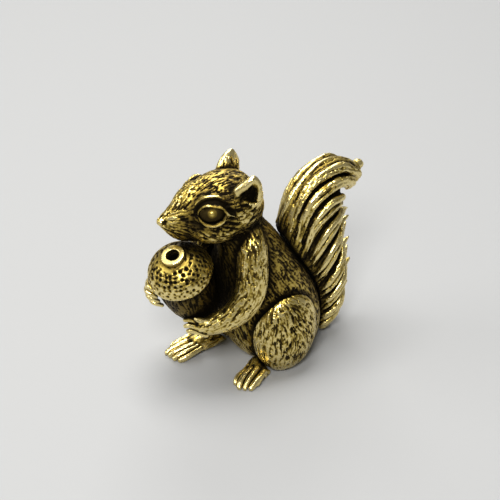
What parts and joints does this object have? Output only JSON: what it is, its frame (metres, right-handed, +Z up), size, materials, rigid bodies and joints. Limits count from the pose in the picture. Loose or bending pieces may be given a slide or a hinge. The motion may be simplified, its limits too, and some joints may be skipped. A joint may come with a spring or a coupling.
{
  "type": "squirrel figurine",
  "caption": "Small solid cast brass squirrel that sits up and gnaws an acorn, with a rimmed blind hole in the acorn's cap for an incense stick.",
  "frame": {"origin": "on the ground under the middle of the whole figure's bounding box", "axes": "+Z up, the squirrel faces -Y, its own left side is +X"},
  "size_m": [0.021, 0.041, 0.0384],
  "materials": {
    "antiqued_brass": "antiqued, worn bright on the high spots and dark in the creases"
  },
  "bodies": {
    "root": {"torso": "antiqued_brass", "head": "antiqued_brass", "ear_left": "antiqued_brass", "ear_right": "antiqued_brass", "eye_left": "antiqued_brass", "eye_right": "antiqued_brass", "arm_left": "antiqued_brass", "arm_right": "antiqued_brass", "acorn_nut": "antiqued_brass", "acorn_cap": "antiqued_brass", "stick_collar": "antiqued_brass", "thigh_left": "antiqued_brass", "thigh_right": "antiqued_brass", "foot_left": "antiqued_brass", "foot_right": "antiqued_brass", "tail": "antiqued_brass"}
  },
  "joints": []
}
